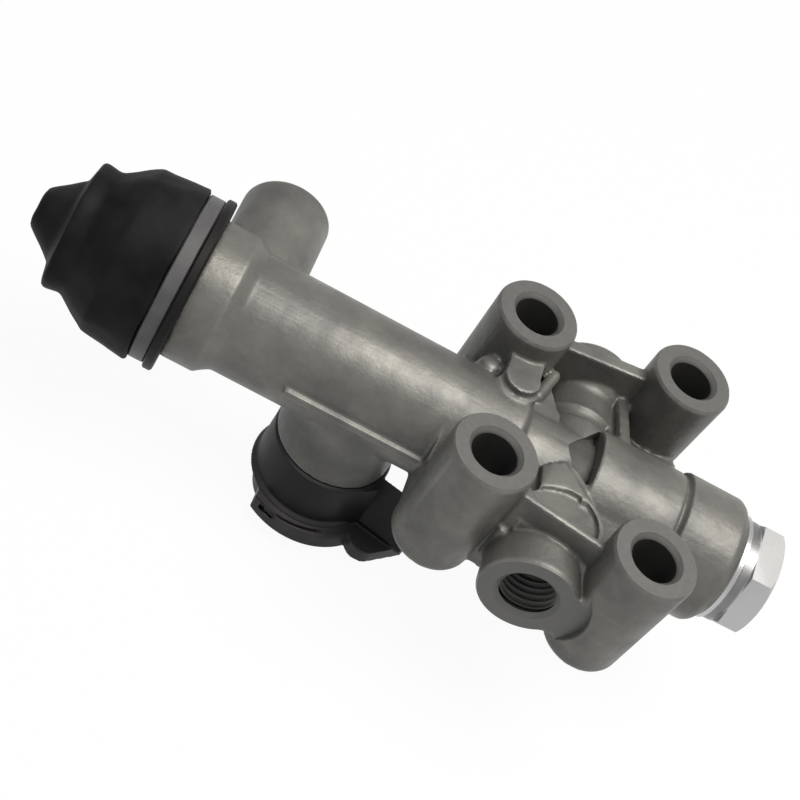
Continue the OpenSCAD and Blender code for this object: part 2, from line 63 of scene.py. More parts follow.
# Floor, backdrop and light
# A pale studio table under the vent cap, a white surround and two large soft lamps,
# the stronger one straight above.
def show_white(tree, lit, white, output, share):
    """Camera, mirror and glass rays see white in this share; light still meets the lit shader."""
    rays = tree.nodes.new("ShaderNodeLightPath")
    seen = tree.nodes.new("ShaderNodeMath")
    seen.operation = "MAXIMUM"
    through = tree.nodes.new("ShaderNodeMath")
    through.operation = "MAXIMUM"
    part = tree.nodes.new("ShaderNodeMath")
    part.operation = "MULTIPLY"
    part.inputs[1].default_value = share
    mixed = tree.nodes.new("ShaderNodeMixShader")
    tree.links.new(rays.outputs["Is Camera Ray"], seen.inputs[0])
    tree.links.new(rays.outputs["Is Glossy Ray"], seen.inputs[1])
    tree.links.new(seen.outputs[0], through.inputs[0])
    tree.links.new(rays.outputs["Is Transmission Ray"], through.inputs[1])
    tree.links.new(through.outputs[0], part.inputs[0])
    tree.links.new(part.outputs[0], mixed.inputs[0])
    tree.links.new(lit.outputs[0], mixed.inputs[1])
    tree.links.new(white.outputs[0], mixed.inputs[2])
    tree.links.new(mixed.outputs[0], tree.nodes[output].inputs[0])


bpy.ops.object.select_all(action="DESELECT")
table_top = -0.0379
bpy.ops.mesh.primitive_circle_add(vertices=96, radius=1.6, fill_type="NGON",
                                  location=(0, 0, table_top))
floor = bpy.context.active_object
floor.name = "studio_table"
bpy.ops.object.transform_apply(location=True, rotation=True, scale=True)
table_paint = bpy.data.materials.new("table_paint")
table_paint.use_nodes = True
paint = table_paint.node_tree.nodes["Principled BSDF"]
paint.inputs["Base Color"].default_value = (0.75, 0.75, 0.75, 1)
paint.inputs["Roughness"].default_value = 0.9
white_table = table_paint.node_tree.nodes.new("ShaderNodeEmission")
show_white(table_paint.node_tree, paint, white_table, "Material Output", 0.95)
floor.data.materials.append(table_paint)

world = bpy.data.worlds.new("studio_air")
bpy.context.scene.world = world
world.use_nodes = True
air = world.node_tree.nodes["Background"]
air.inputs["Color"].default_value = (0.9, 0.94, 1.0, 1)
air.inputs["Strength"].default_value = 0.12
white_air = world.node_tree.nodes.new("ShaderNodeBackground")
show_white(world.node_tree, air, white_air, "World Output", 1.0)


def soft_lamp(name, place, target, size, power, tint):
    lamp_data = bpy.data.lights.new(name, "AREA")
    lamp_data.shape = "DISK"
    lamp_data.size = size
    lamp_data.energy = power
    lamp_data.color = tint
    lamp = bpy.data.objects.new(name, lamp_data)
    bpy.context.scene.collection.objects.link(lamp)
    away = (Vector(place) - Vector(target)).normalized()
    lamp.matrix_world = Matrix.Translation(place) @ away.to_track_quat("Z", "Y").to_matrix().to_4x4()


soft_lamp("high_lamp", (0.2, -0.03, 0.8), (0.02, 0, 0), 0.55, 9.5, (1.0, 0.97, 0.92))
soft_lamp("front_lamp", (-0.5, -0.65, 0.55), (0, 0, 0), 0.5, 0.8, (0.95, 0.97, 1.0))

# Housing
# One aluminium die casting with a shot-blasted skin: edges and inner corners are soft, and
# the boss faces, holes and ports are then machined into it.
def only(*pieces):
    bpy.ops.object.select_all(action="DESELECT")
    for piece in pieces:
        piece.select_set(True)
    bpy.context.view_layer.objects.active = pieces[0]


def edit_all(piece):
    only(piece)
    bpy.ops.object.mode_set(mode="EDIT")
    bpy.ops.mesh.select_all(action="SELECT")


def settle(piece):
    """Put a piece's place and turn into its mesh."""
    only(piece)
    bpy.ops.object.transform_apply(location=True, rotation=True, scale=True)


def merged_copy(node, name):
    """A copy of a CAD node's mesh, without its doubled corners and its finish."""
    piece = bpy.data.objects.new(name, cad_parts[node].data.copy())
    bpy.context.scene.collection.objects.link(piece)
    piece.data.materials.clear()
    edit_all(piece)
    bpy.ops.mesh.remove_doubles(threshold=1e-6)
    bpy.ops.object.mode_set(mode="OBJECT")
    return piece


def apply_modifiers(piece):
    only(piece)
    for modifier in list(piece.modifiers):
        bpy.ops.object.modifier_apply(modifier=modifier.name)


def drawn_line(name, points):
    """An open line through points, drawn vertex by vertex from a collapsed plane."""
    bpy.ops.object.select_all(action="DESELECT")
    bpy.ops.mesh.primitive_plane_add(size=0.001, location=(0, 0, 0))
    piece = bpy.context.active_object
    piece.name = name
    bpy.ops.object.mode_set(mode="EDIT")
    bpy.ops.mesh.select_all(action="SELECT")
    bpy.ops.mesh.merge(type="CENTER")
    bpy.ops.transform.translate(value=points[0])
    for before, after in zip(points, points[1:]):
        step = [q - p for p, q in zip(before, after)]
        bpy.ops.mesh.extrude_vertices_move(TRANSFORM_OT_translate={"value": step})
    bpy.ops.object.mode_set(mode="OBJECT")
    return piece


def turned(name, centre, outwards, profile, steps=96):
    """A lathe-turned piece: profile is [(distance along outwards, radius)] in metres."""
    piece = drawn_line(name, [(r, 0, z) for z, r in profile])
    edit_all(piece)
    bpy.ops.mesh.spin(steps=steps, angle=2 * math.pi, center=(0, 0, 0), axis=(0, 0, 1))
    bpy.ops.mesh.select_all(action="SELECT")
    bpy.ops.mesh.remove_doubles(threshold=2e-6)
    bpy.ops.mesh.normals_make_consistent(inside=False)
    bpy.ops.object.mode_set(mode="OBJECT")
    turn = Vector(outwards).to_track_quat("Z", "Y").to_matrix().to_4x4()
    piece.matrix_world = Matrix.Translation(centre) @ turn
    settle(piece)
    return piece


def block(name, points):
    """The solid spanned by a few corner points in metres."""
    piece = drawn_line(name, points)
    edit_all(piece)
    bpy.ops.mesh.convex_hull()
    bpy.ops.mesh.select_all(action="SELECT")
    bpy.ops.mesh.normals_make_consistent(inside=False)
    bpy.ops.object.mode_set(mode="OBJECT")
    settle(piece)
    return piece


def smooth(piece, angle=30):
    only(piece)
    bpy.ops.object.shade_smooth_by_angle(angle=math.radians(angle))


def grown(piece, extras):
    """Join solid extras to a piece; the voxel skin that follows fuses them."""
    only(piece, *extras)
    bpy.ops.object.join()
    return bpy.context.active_object


def solid_change(piece, other, operation, walls="INDEX"):
    """Join, cut or intersect two closed solids and drop the second one."""
    change = piece.modifiers.new("change", "BOOLEAN")
    change.operation = operation
    change.solver = "MANIFOLD"
    change.material_mode = walls
    change.object = other
    apply_modifiers(piece)
    bpy.data.objects.remove(other)


def machined(piece, cutters, finish):
    """Cut machined shapes out of a piece and give their walls a finish."""
    cutter = grown(cutters[0], cutters[1:])
    cutter.data.materials.append(finish)
    solid_change(piece, cutter, "DIFFERENCE", "TRANSFER")


def moulded_skin(piece, voxel, kept, finish):
    """Fuse a piece's solids into one skin with softened edges and give it its finish."""
    skin = piece.modifiers.new("skin", "REMESH")
    skin.mode = "VOXEL"
    skin.voxel_size = voxel
    soft = piece.modifiers.new("soft", "SMOOTH")
    soft.factor = 0.5
    soft.iterations = 2
    thin = piece.modifiers.new("thin", "DECIMATE")
    thin.ratio = kept
    apply_modifiers(piece)
    piece.data.materials.clear()
    piece.data.materials.append(finish)


def new_finish(name):
    """A material with its nodes, its links and its shader."""
    material = bpy.data.materials.new(name)
    material.use_nodes = True
    tree = material.node_tree
    return material, tree.nodes, tree.links, tree.nodes["Principled BSDF"]


def spread(nodes, links, source, from_span, to_span):
    """A Map Range node that turns one span of a value into another."""
    turn = nodes.new("ShaderNodeMapRange")
    turn.inputs["From Min"].default_value, turn.inputs["From Max"].default_value = from_span
    turn.inputs["To Min"].default_value, turn.inputs["To Max"].default_value = to_span
    links.new(source, turn.inputs["Value"])
    return turn.outputs["Result"]


def grain_noise(nodes, links, place, scale, detail=2):
    """A noise pattern laid through the piece's own space."""
    noise = nodes.new("ShaderNodeTexNoise")
    noise.inputs["Scale"].default_value = scale
    noise.inputs["Detail"].default_value = detail
    links.new(place, noise.inputs["Vector"])
    return noise


def two_tones(nodes, links, source, tone, low, high):
    """A ramp between a darker and a lighter version of a colour: (position, factors)."""
    tint = nodes.new("ShaderNodeValToRGB")
    for stop, (position, factors) in zip(tint.color_ramp.elements, (low, high)):
        stop.position = position
        stop.color = [t * f for t, f in zip(tone, factors)] + [1]
    links.new(source, tint.inputs["Fac"])
    return tint.outputs["Color"]


def relief(nodes, links, height, strength, distance):
    """A Bump node; its height comes from a pattern's socket."""
    bump = nodes.new("ShaderNodeBump")
    bump.inputs["Strength"].default_value = strength
    bump.inputs["Distance"].default_value = distance
    links.new(height, bump.inputs["Height"])
    return bump


def scaled_colour(nodes, links, colour, factor):
    """A colour made lighter or darker by a value's socket."""
    changed = nodes.new("ShaderNodeVectorMath")
    changed.operation = "SCALE"
    links.new(colour, changed.inputs[0])
    links.new(factor, changed.inputs["Scale"])
    return changed.outputs["Vector"]


def combined(nodes, links, operation, first, second):
    """Two values joined by a Math node."""
    joined = nodes.new("ShaderNodeMath")
    joined.operation = operation
    links.new(first, joined.inputs[0])
    links.new(second, joined.inputs[1])
    return joined.outputs[0]


def axis_value(nodes, links, source, axis):
    """One of X, Y and Z of a place or a normal."""
    split = nodes.new("ShaderNodeSeparateXYZ")
    links.new(source, split.inputs[0])
    return split.outputs[axis]


def cast_alloy(name, tone, shine):
    """Blasted aluminium: fine grain, cloudy patches, edges lighter as wear and painted highlight,
    inner corners darker as painted shade, and painted shade low down.
    """
    material, nodes, links, metal = new_finish(name)
    metal.inputs["Metallic"].default_value = shine
    place = nodes.new("ShaderNodeTexCoord").outputs["Object"]
    form = nodes.new("ShaderNodeNewGeometry")
    clouds = grain_noise(nodes, links, place, 95, 6)
    clouds.inputs["Roughness"].default_value = 0.62
    specks = grain_noise(nodes, links, place, 2400, 3)
    waves = grain_noise(nodes, links, place, 420)
    tint = two_tones(nodes, links, clouds.outputs["Fac"], tone, (0.34, (0.74, 0.74, 0.76)),
                     (0.68, (1.3, 1.3, 1.24)))
    # Pointiness: convex edges lighter, partly wear and partly painted highlight; inner corners darker
    # as painted shade.
    edge_wear_highlight_corner_shade = spread(nodes, links, form.outputs["Pointiness"], (0.44, 0.56), (0.7, 1.4))
    # Painted shade: the colour darkens towards the bottom, to half its tone between z = -6 mm and z =
    # -12 mm.
    painted_low_shade = spread(nodes, links, axis_value(nodes, links, place, "Z"), (-0.012, -0.006), (0.5, 1.0))
    both = combined(nodes, links, "MULTIPLY", painted_low_shade, edge_wear_highlight_corner_shade)
    links.new(scaled_colour(nodes, links, tint, both), metal.inputs["Base Color"])
    rough = spread(nodes, links, clouds.outputs["Fac"], (0.3, 0.7), (0.52, 0.4))
    links.new(rough, metal.inputs["Roughness"])
    grain = relief(nodes, links, specks.outputs["Fac"], 0.3, 0.0001)
    dimples = relief(nodes, links, waves.outputs["Fac"], 0.25, 0.0004)
    links.new(grain.outputs["Normal"], dimples.inputs["Normal"])
    links.new(dimples.outputs["Normal"], metal.inputs["Normal"])
    return material


def turned_metal(name, tone, shine, rough, marks, along):
    """Machined metal: fine lathe rings about an axis, with slightly varied gloss."""
    material, nodes, links, metal = new_finish(name)
    metal.inputs["Metallic"].default_value = shine
    stretch = nodes.new("ShaderNodeMapping")
    stretch.inputs["Scale"].default_value = along
    links.new(nodes.new("ShaderNodeTexCoord").outputs["Object"], stretch.inputs["Vector"])
    lines = grain_noise(nodes, links, stretch.outputs["Vector"], 1.0, 3).outputs["Fac"]
    tint = two_tones(nodes, links, lines, tone, (0.3, (0.88, 0.88, 0.88)), (0.7, (1, 1, 1)))
    links.new(tint, metal.inputs["Base Color"])
    links.new(spread(nodes, links, lines, (0, 1), rough), metal.inputs["Roughness"])
    links.new(relief(nodes, links, lines, marks, 0.00005).outputs["Normal"], metal.inputs["Normal"])
    return material


blasted = cast_alloy("blasted_aluminium", (0.115, 0.113, 0.106), shine=0.35)
cut_alloy = turned_metal("milled_aluminium", (0.115, 0.114, 0.108), shine=0.35, rough=(0.4, 0.55),
    marks=0.3, along=(900, 900, 3000))
# The bores' walls get a much darker tone than the milled faces: painted shade inside the holes and
# ports.
bore_painted_shade_alloy = turned_metal("bored_aluminium_painted_shade", (0.045, 0.044, 0.042), shine=0.3, rough=(0.45, 0.6),
    marks=0.3, along=(900, 4000, 900))
bright_cut = turned_metal("turned_aluminium", (0.4, 0.4, 0.385), shine=0.85, rough=(0.3, 0.42),
    marks=0.25, along=(4000, 500, 500))
# A darker, less glossy copy of the blasted finish: painted shade on the pocket beside the neck.
painted_shade_cast = cast_alloy("painted_shade_aluminium", (0.08, 0.08, 0.077), shine=0.1)
painted_shade_cast.node_tree.nodes["Principled BSDF"].inputs["Specular IOR Level"].default_value = 0.1
bolt_holes = ((0, 0.0185), (0, -0.0185), (0.0332, 0.0234), (0.0332, -0.0234))
ports = ((0.0181, -1), (0.0181, 1), (-0.0501, 1))
boss_face, port_face, hole_radius = 0.0183, 0.0293, 0.0045
pad_rim = [(0.0152, -0.0112), (0.017, -0.01045), (0.0185, -0.0103), (0.0203, -0.01047),
           (0.0205, -0.0118)]


def pad_edge(far_corners):
    """The cutter that leaves the pad's curved rim beside the neck."""
    return block("pad_edge", [(x, y, z) for z in (0.0086, 0.011)
                              for x, y in pad_rim + far_corners])


casting = merged_copy("valve_body", "housing_casting")

# Extra stock past the tube's ends, boss faces and port faces, so that the skin's soft edge
# lies outside what is machined off
stock = [turned("stock", (0, 0, 0), (1, 0, 0), [
    (-0.0685, 0), (-0.0685, 0.0125), (-0.0567, 0.0125), (-0.0565, 0.0092), (0.0405, 0.0092),
    (0.0407, 0.0112), (0.055, 0.0112), (0.055, 0)], 64)]
for x, y in bolt_holes:
    stock.append(turned("stock", (x, y, 0), (0, 0, 1), [
        (-0.0097, 0), (-0.0097, 0.0057), (0.017, 0.0057), (0.0172, 0.0079), (0.02, 0.0079),
        (0.02, 0)], 64))
for x, side in ports:
    land = 0.009 if x > 0 else 0.0071
    stock.append(turned("stock", (x, 0, 0), (0, side, 0), [
        (0.006, 0), (0.006, 0.0054), (0.0275, 0.0068), (0.0275, land), (0.031, land),
        (0.031, 0)], 64))

# The raised crown and the small cast ribs about the neck
machined(casting, [pad_edge([(0.0152, -0.0118)])], blasted)
crown = block("crown", [
    (0.0118, -0.0068, 0.0086), (0.0122, -0.0127, 0.0092), (0.0138, -0.0052, 0.0094),
    (0.0155, -0.0046, 0.0096), (0.0206, -0.012, 0.0096), (0.0206, -0.0094, 0.0097),
    (0.0204, -0.0072, 0.0085), (0.0122, -0.0127, 0.0075), (0.0118, -0.0068, 0.0065),
    (0.0206, -0.012, 0.0075), (0.0204, -0.0072, 0.0065)])
machined(crown, [turned("pad_cut", (0.0175, -0.0186, 0), (0, 0, 1), [
    (0.0086, 0), (0.0086, 0.00795), (0.012, 0.00795), (0.012, 0)])], blasted)
machined(crown, [pad_edge([(0.0205, -0.0125), (0.0152, -0.0125)])], blasted)
stock.append(crown)
stock.append(turned("saddle_rib", (0.00664, 0.00716, 0.00915), (0.284, 0.959, 0), [
    (-0.0006, 0), (-0.0004, 0.0006), (0, 0.001), (0.0006, 0.0012), (0.0082, 0.0012),
    (0.0088, 0.001), (0.0092, 0.0006), (0.0094, 0)], 32))
stock.append(turned("wall_rib", (0.0259, 0.0074, 0.0088), (-0.0015, 0.0134, -0.0025), [
    (-0.0005, 0), (0, 0.0013), (0.0138, 0.0013), (0.0142, 0)], 32))
stock.append(block("rib_root", [
    (0.0232, 0.009, 0.004), (0.0262, 0.009, 0.004), (0.0262, 0.009, 0.0075),
    (0.0232, 0.009, 0.007), (0.0232, 0.019, 0.004), (0.0252, 0.019, 0.004),
    (0.0252, 0.019, 0.006), (0.0232, 0.019, 0.0058)]))
stock.append(turned("ejector_mark", (-0.0036, 0.0092, 0.006), (0, 0, 1), [
    (0, 0), (0, 0.003), (0.0032, 0.0024), (0.0042, 0.0018), (0.0046, 0.001), (0.0047, 0)], 32))
casting = grown(casting, stock)
moulded_skin(casting, voxel=0.00034, kept=0.27, finish=blasted)

# The sharp pocket beside the neck, finished darker as painted shade, then the machined faces, mouths
# and bores, the bores' walls also darker as painted shade
pocket = block("neck_pocket", [
    (0.0148, -0.0006, 0.01), (0.0206, 0.0078, 0.0062), (0.0211, 0.0078, 0.0062),
    (0.0211, -0.0066, 0.0073), (0.0204, -0.0068, 0.0074), (0.0162, -0.004, 0.0099),
    (0.0148, -0.0006, 0.014), (0.0206, 0.0078, 0.012), (0.0211, 0.0078, 0.012),
    (0.0211, -0.0066, 0.0118), (0.0204, -0.0068, 0.0118), (0.0162, -0.004, 0.014)])
machined(pocket, [turned("neck_core", (0, 0, 0), (1, 0, 0), [
    (0.012, 0), (0.012, 0.0099), (0.0145, 0.0099), (0.0205, 0.00905), (0.023, 0.00905),
    (0.023, 0)])], painted_shade_cast)
machined(casting, [pocket], painted_shade_cast)
faces = [turned("face_cut", (x, y, 0), (0, 0, 1), [
    (boss_face, 0), (boss_face, 0.0095), (0.022, 0.0095), (0.022, 0)]) for x, y in bolt_holes]
faces += [turned("spot_face", (x, 0, 0), (0, side, 0), [
    (port_face, 0), (port_face, reach), (0.034, reach), (0.034, 0)])
    for (x, side), reach in zip(ports, (0.0119, 0.0119, 0.0085))]
machined(casting, faces, cut_alloy)
mouths = [turned("chamfer_cut", (x, y, 0), (0, 0, 1), [
    (0.017, 0), (0.017, 0.0044), (0.0174, 0.0045), (0.0178, 0.0049), (0.0184, 0.0054), (0.019, 0.0054),
    (0.019, 0)]) for x, y in bolt_holes]
mouths += [turned("countersink", (x, 0, 0), (0, side, 0), [
    (0.0284, 0), (0.0284, 0.0052), (0.0294, 0.0063), (0.031, 0.0063), (0.031, 0)])
    for x, side in ports]
machined(casting, mouths, cut_alloy)
bores = [turned("hole_cut", (x, y, 0), (0, 0, 1), [
    (-0.012, 0), (-0.012, 0.0056), (-0.0104, 0.0053), (-0.0094, hole_radius),
    (0.0172, hole_radius), (0.0172, 0)]) for x, y in bolt_holes]
bores += [turned("port_cut", (x, 0, 0), (0, side, 0), [
    (0.006, 0), (0.006, 0.0036), (0.0143, 0.0036), (0.0143, 0.0046), (0.0173, 0.0046),
    (0.0173, 0.00525), (0.0176, 0.0062), (0.0284, 0.0062), (0.0284, 0.0053), (0.0286, 0.0053),
    (0.0286, 0)]) for x, side in ports]
machined(casting, bores, bore_painted_shade_alloy)
machined(casting, [turned("end_turning", (0, 0, 0), (1, 0, 0), [
    (0.0523, 0.0145), (0.0523, 0.0127), (0.0533, 0.0114), (0.0535, 0.011), (0.0535, 0),
    (0.057, 0), (0.057, 0.0145), (0.0523, 0.0145)])], bright_cut)
machined(casting, [turned("main_bore", (0, 0, 0), (1, 0, 0), [
    (-0.07, 0), (-0.07, 0.0145), (-0.067, 0.0145), (-0.067, 0.0113), (-0.0663, 0.0106),
    (-0.0663, 0.0114), (-0.065, 0.0114), (-0.065, 0.0105), (-0.057, 0.0105), (-0.057, 0.0085),
    (0.042, 0.0085), (0.042, 0.0092), (0.0516, 0.0092), (0.0536, 0.01065), (0.0536, 0)])], bright_cut)
smooth(casting, 32)
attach(casting, "housing")
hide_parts("valve_body")

# Port threads
# The three tapped holes have a cut thread of 1.5 mm pitch; each is a helical liner that sits
# in its hole, open at both ends and joined to the machined wall.
def port_thread(name, mouth, outwards):
    crest, root, pitch, depth = 0.0052, 0.00605, 0.0015, 0.0108
    line = [(crest, 0, 0), (crest + 0.00005, 0, 0.00012), (root, 0, 0.00062), (root, 0, 0.00088),
            (crest + 0.00005, 0, 0.00138), (crest, 0, pitch)]
    thread = drawn_line(name, line)
    cut = thread.modifiers.new("cut", "SCREW")
    cut.axis = "Z"
    cut.steps = 72
    cut.render_steps = 72
    cut.screw_offset = pitch
    cut.iterations = 8
    cut.use_merge_vertices = True
    cut.merge_threshold = 1e-6
    apply_modifiers(thread)
    edit_all(thread)
    bpy.ops.mesh.remove_doubles(threshold=1e-6)
    bpy.ops.mesh.bisect(plane_co=(0, 0, 0.0001), plane_no=(0, 0, 1), clear_inner=True)
    bpy.ops.mesh.select_all(action="SELECT")
    bpy.ops.mesh.bisect(plane_co=(0, 0, depth), plane_no=(0, 0, 1), clear_outer=True)
    bpy.ops.mesh.select_all(action="SELECT")
    bpy.ops.mesh.normals_make_consistent(inside=False)
    bpy.ops.object.mode_set(mode="OBJECT")
    wall = thread.modifiers.new("wall", "SOLIDIFY")
    wall.thickness = 0.0003
    wall.offset = -1
    apply_modifiers(thread)
    turn = (-Vector(outwards)).to_track_quat("Z", "Y").to_matrix().to_4x4()
    thread.matrix_world = Matrix.Translation(mouth) @ turn
    settle(thread)
    smooth(thread, 25)
    thread.data.materials.append(cut_alloy)
    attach(thread, "housing")


thread_start = 0.02845
for port, (x, side) in zip(("front", "rear", "supply"), ports):
    port_thread(port + "_port_thread", (x, side * thread_start, 0), (0, side, 0))

# Boot
# A stepped boot of moulded black rubber over the plunger's end; its mouth is held by the
# band, and its tip rides on the plunger's pressure pad.
def moulded_rubber(name, tone, shine, lumps, grain):
    """Black rubber with a dull bloom in clouds and a fine grain."""
    material, nodes, links, rubber = new_finish(name)
    rubber.inputs["Specular IOR Level"].default_value = shine
    place = nodes.new("ShaderNodeTexCoord").outputs["Object"]
    bloom = grain_noise(nodes, links, place, lumps, 5).outputs["Fac"]
    fine = grain_noise(nodes, links, place, 3500).outputs["Fac"]
    tint = two_tones(nodes, links, bloom, tone, (0.38, (0.3, 0.3, 0.3)), (0.66, (1.9, 1.9, 1.9)))
    links.new(tint, rubber.inputs["Base Color"])
    links.new(spread(nodes, links, bloom, (0, 1), (0.45, 0.68)), rubber.inputs["Roughness"])
    links.new(relief(nodes, links, fine, grain, 0.0001).outputs["Normal"], rubber.inputs["Normal"])
    return material


boot_outside_mm = [
    (-90.8, 0), (-90.8, 3.1), (-90.6, 3.75), (-90.2, 4.2), (-87.4, 6.4), (-85.1, 8.2),
    (-84.8, 8.6), (-84.6, 9.2), (-84.3, 10.4), (-83.95, 11.7), (-83.75, 12.2), (-83.4, 12.45),
    (-82.9, 12.5), (-81, 12.3), (-80.2, 12.4), (-79.6, 12.7), (-77, 14.6), (-74.3, 16.4),
    (-73.8, 16.65), (-73.1, 16.75), (-69, 17), (-65.1, 17.4), (-64.75, 17.35), (-64.6, 17.1)]
boot_inside_mm = [
    (-64.6, 15.8), (-65.2, 15.6), (-68, 15.4), (-71, 15.3), (-73, 15), (-76, 13.1),
    (-78.4, 11.5), (-80, 11.05), (-82.1, 10.9), (-82.6, 10.3), (-82.85, 8), (-83.4, 7.5),
    (-85.3, 6.1), (-85.35, 3), (-85.35, 0)]
boot = turned("boot_skin", (0, 0, 0), (1, 0, 0), [
    (x / 1000, r / 1000) for x, r in boot_outside_mm + boot_inside_mm], 144)
edit_all(boot)
bpy.ops.mesh.subdivide(number_cuts=2)
bpy.ops.object.mode_set(mode="OBJECT")
uneven = bpy.data.textures.new("boot_unevenness", "CLOUDS")
uneven.noise_scale = 0.012
dents = boot.modifiers.new("dents", "DISPLACE")
dents.texture = uneven
dents.texture_coords = "LOCAL"
dents.mid_level = 0.5
dents.strength = 0.0011
apply_modifiers(boot)
smooth(boot, 35)
boot_rubber = moulded_rubber("boot_rubber", (0.0072, 0.0072, 0.0077), shine=0.08,
    lumps=85, grain=0.35)
boot.data.materials.append(boot_rubber)
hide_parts("rubber_boot")
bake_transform(boot)

# Boot band and seat ring
# A grey plastic band clips round the boot's mouth; behind it a black ring with a thin flange
# sits against the housing's collar.
def moulded_plastic(name, tone, shine, rough, mottle, painted_top_light=1.0):
    """Injection-moulded plastic: faint flow mottle, fine eroded texture, and painted light that makes
    upward faces and the foot lighter.
    """
    material, nodes, links, plastic = new_finish(name)
    plastic.inputs["Specular IOR Level"].default_value = shine
    place = nodes.new("ShaderNodeTexCoord").outputs["Object"]
    normal = nodes.new("ShaderNodeNewGeometry").outputs["Normal"]
    flow = grain_noise(nodes, links, place, mottle, 3).outputs["Fac"]
    fine = grain_noise(nodes, links, place, 4500).outputs["Fac"]
    tint = two_tones(nodes, links, flow, tone, (0.3, (0.82, 0.82, 0.82)), (0.75, (1.15, 1.15, 1.15)))
    # Painted light: upward faces, and everything below the foot's top, are made lighter by the given
    # factor; at 1 nothing changes.
    upward_painted_light = spread(nodes, links, axis_value(nodes, links, normal, "Z"), (0.2, 0.9), (1.0, painted_top_light))
    foot = spread(nodes, links, axis_value(nodes, links, place, "Z"), (-0.0312, -0.0305),
                  (0.4 + 0.6 * painted_top_light, 1.0))
    both = combined(nodes, links, "MAXIMUM", upward_painted_light, foot)
    links.new(scaled_colour(nodes, links, tint, both), plastic.inputs["Base Color"])
    links.new(spread(nodes, links, flow, (0, 1), (rough, rough + 0.14)), plastic.inputs["Roughness"])
    links.new(relief(nodes, links, fine, 0.2, 0.00006).outputs["Normal"], plastic.inputs["Normal"])
    return material


def finish_node(node, material):
    """A CAD piece whose shape is right only gets its finish."""
    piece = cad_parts[node]
    piece.data.materials.clear()
    piece.data.materials.append(material)


finish_node("boot_clamp_ring", moulded_plastic("band_plastic", (0.085, 0.083, 0.086),
    shine=0.3, rough=0.42, mottle=300))
finish_node("boot_seat_ring", moulded_plastic("ring_plastic", (0.007, 0.0065, 0.0065),
    shine=0.15, rough=0.45, mottle=300))

# Plunger and its guide
# A ground and hardened rod with a turned pressure pad on its tip slides in a sintered bronze
# bush; a snap ring, a lip wiper and an O-ring are fitted round it.
ground_steel = turned_metal("ground_steel", (0.5, 0.5, 0.52), shine=0.95, rough=(0.18, 0.3),
    marks=0.2, along=(5000, 150, 150))
pad_steel = turned_metal("pad_steel", (0.42, 0.42, 0.43), shine=0.9, rough=(0.3, 0.45),
    marks=0.35, along=(3000, 250, 250))
bush_bronze = turned_metal("bush_bronze", (0.5, 0.33, 0.13), shine=0.9, rough=(0.35, 0.5),
    marks=0.3, along=(2500, 900, 900))
snap_steel = turned_metal("snap_ring_steel", (0.1, 0.1, 0.11), shine=0.8, rough=(0.4, 0.55),
    marks=0.2, along=(600, 600, 600))
seal_rubber = moulded_rubber("seal_rubber", (0.012, 0.012, 0.012), shine=0.3,
    lumps=500, grain=0.15)
finish_node("plunger", ground_steel)
finish_node("plunger_tip", pad_steel)
finish_node("guide_bush", bush_bronze)
finish_node("guide_circlip", snap_steel)
finish_node("rod_wiper", seal_rubber)
finish_node("rod_seal", seal_rubber)

# Valve sleeve and spool
# The hollow anodised spool runs in a turned brass sleeve that two O-rings seal in the bore;
# the spool carries one O-ring of its own and the spring cup on its end.
sleeve_brass = turned_metal("sleeve_brass", (0.62, 0.42, 0.14), shine=0.95, rough=(0.22, 0.36),
    marks=0.25, along=(4000, 200, 200))
spool_alloy = turned_metal("spool_alloy", (0.42, 0.43, 0.45), shine=0.7, rough=(0.3, 0.42),
    marks=0.2, along=(4000, 200, 200))
finish_node("valve_sleeve", sleeve_brass)
finish_node("sleeve_seals", seal_rubber)
finish_node("spool", spool_alloy)
finish_node("spool_seal", seal_rubber)
finish_node("spring_cup", pad_steel)

# Springs
# Drawn steel wire, cold coiled with closed ends; the large one presses the spool back, the
# small one shuts the check valve.
wire_steel = turned_metal("spring_wire", (0.3, 0.3, 0.31), shine=0.9, rough=(0.28, 0.4),
    marks=0.2, along=(900, 900, 900))
for node, mover, start, end in (
        ("return_spring", "spool", (0.0088, 0, 0), (0.0474, 0, 0)),
        ("check_spring", "check_poppet", (-0.0501, 0.0141, 0), (-0.0501, 0.0097, 0))):
    spring = merged_copy(node, node + "_wire")
    smooth(spring, 60)
    spring.data.materials.append(wire_steel)
    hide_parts(node)
    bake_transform(spring)

# Hex plug and washer
# Bright zinc-plated steel: the plug is screwed in over an O-ring, with a polished washer
# under its neck.
zinc = turned_metal("bright_zinc", (0.47, 0.47, 0.475), shine=0.9, rough=(0.34, 0.42),
    marks=0.06, along=(2600, 260, 260))
nodes = zinc.node_tree.nodes
links = zinc.node_tree.links
plating = nodes["Principled BSDF"]
plating.inputs["Specular IOR Level"].default_value = 0.15
nodes["Color Ramp"].color_ramp.elements[0].color = (0.45, 0.45, 0.455, 1)
# Painted shade: the neck left of x = 56.6 mm is darkened to 0.45 of the plating's colour. Upward faces
# are made far less metallic, which holds back the lamp's highlight there.
along = axis_value(nodes, links, nodes["Texture Coordinate"].outputs["Object"], "X")
neck = spread(nodes, links, along, (0.0564, 0.0568), (0.9, 0.0))
shade = spread(nodes, links, neck, (0.0, 0.9), (1.0, 0.45))
links.new(scaled_colour(nodes, links, nodes["Color Ramp"].outputs["Color"], shade),
          plating.inputs["Base Color"])
upward = axis_value(nodes, links, nodes.new("ShaderNodeNewGeometry").outputs["Normal"], "Z")
dulled = spread(nodes, links, upward, (0.3, 0.8), (0.92, 0.04))
links.new(combined(nodes, links, "MAXIMUM", dulled, neck), plating.inputs["Metallic"])
washer_steel = turned_metal("washer_steel", (0.5, 0.5, 0.505), shine=0.95, rough=(0.2, 0.3),
    marks=0.1, along=(3200, 320, 320))

